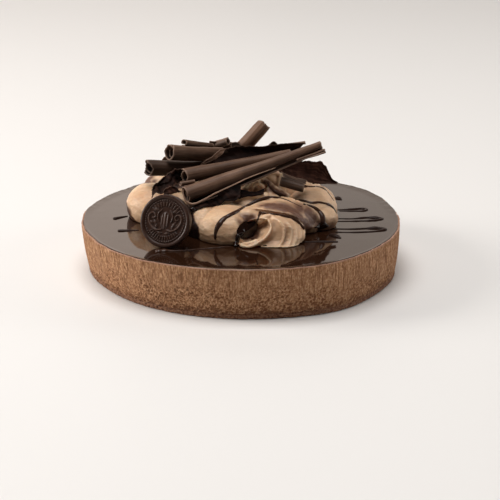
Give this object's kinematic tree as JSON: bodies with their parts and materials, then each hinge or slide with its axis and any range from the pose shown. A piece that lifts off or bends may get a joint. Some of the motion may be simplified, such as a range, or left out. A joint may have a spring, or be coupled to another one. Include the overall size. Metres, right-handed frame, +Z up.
{
  "type": "decorated baked cheesecake",
  "caption": "Round baked chocolate cheesecake with dark glaze, a mound of whipped cream with sauce lines, a pressed chocolate medallion and chocolate curls.",
  "frame": {"origin": "middle of the cake's foot, on the surface it stands on", "axes": "+Z up, -Y towards the front with the medallion at the left, +X to the viewer's right"},
  "size_m": [0.25, 0.2514, 0.1163],
  "materials": {
    "crumb": "matte",
    "cake": "matte",
    "glaze": "mirror gloss",
    "cream": "satin",
    "medallion": "satin",
    "chocolate": "satin"
  },
  "bodies": {
    "root": {"crumb_base": "crumb", "cheesecake": "cake", "glaze": "glaze", "cream": "cream", "medallion": "medallion", "curl_front": "chocolate", "curl_second": "chocolate", "curl_small_left": "chocolate", "curl_upper_left": "chocolate", "curl_lower_left": "chocolate", "curl_back_small": "chocolate", "curl_back_short": "chocolate", "curl_upright": "chocolate", "curl_thin": "chocolate", "curl_right": "chocolate", "shard_dark": "chocolate", "shard_back_left": "chocolate", "shard_back_right": "chocolate", "flake_right": "chocolate", "flake_left_dark": "chocolate", "flake_left_low": "chocolate", "flake_under_left": "chocolate", "flake_middle": "chocolate", "flake_under_right": "chocolate", "flake_top": "chocolate", "flake_top_left": "chocolate"}
  },
  "joints": []
}
